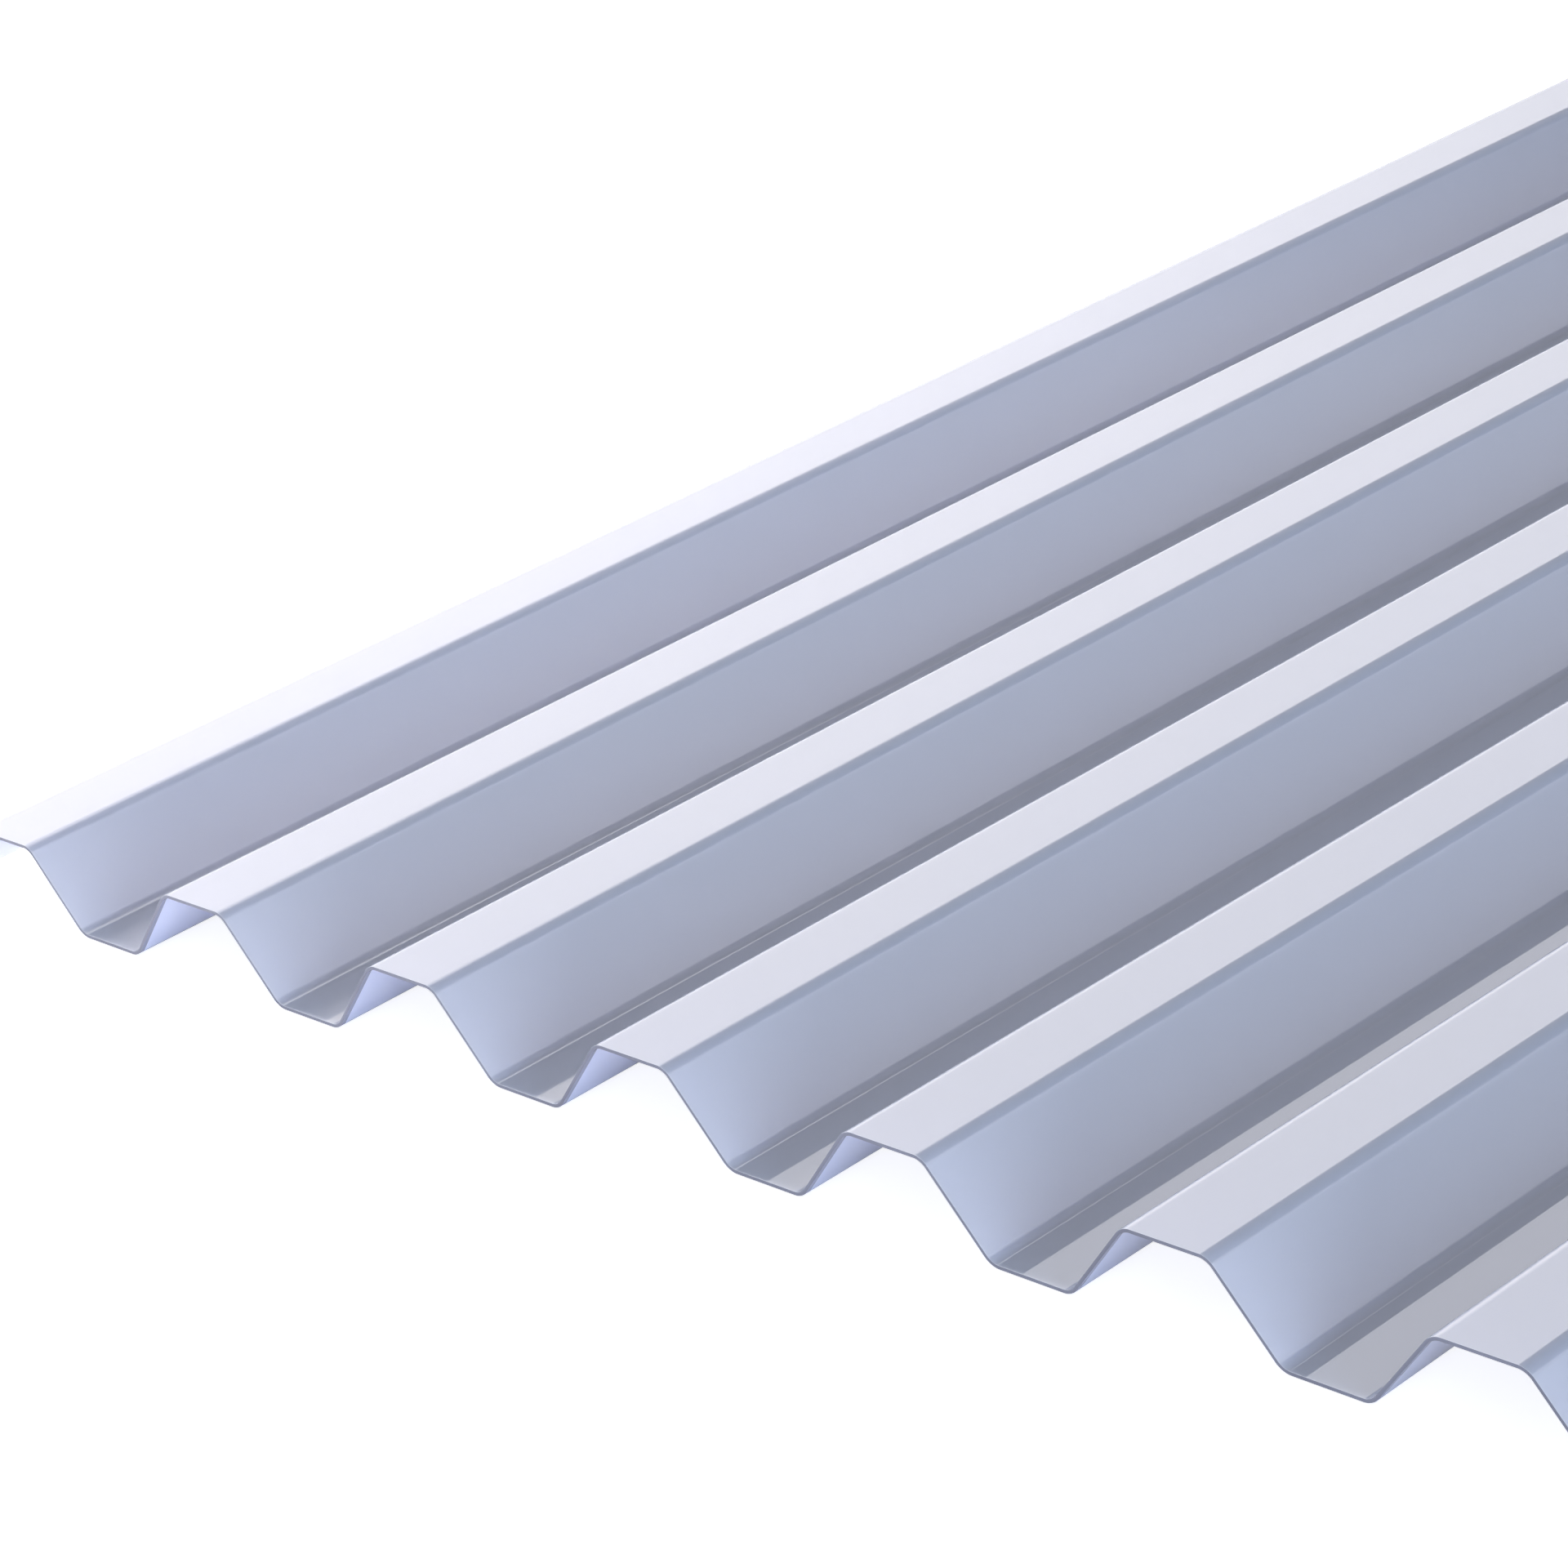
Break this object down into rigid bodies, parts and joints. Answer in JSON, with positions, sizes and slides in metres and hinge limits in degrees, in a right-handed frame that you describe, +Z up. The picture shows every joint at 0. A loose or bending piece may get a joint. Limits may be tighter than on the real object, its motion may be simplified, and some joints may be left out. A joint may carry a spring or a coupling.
{
  "type": "trapezoidal roof sheet",
  "caption": "Long thin translucent plastic roof sheet with a trapezoidal profile of flat crests and valleys, lapped at its sides and screwed to battens to cover a roof or wall.",
  "frame": {"origin": "middle of the underside, at the level of the valleys", "axes": "+X across the sheet, +Y along the crests, +Z up from the valleys to the crests"},
  "size_m": [1.095, 2, 0.0188],
  "materials": {
    "clear_plastic": "glossy translucent rigid plastic, pale lavender blue"
  },
  "bodies": {
    "root": {"roof_sheet": "clear_plastic"}
  },
  "joints": []
}
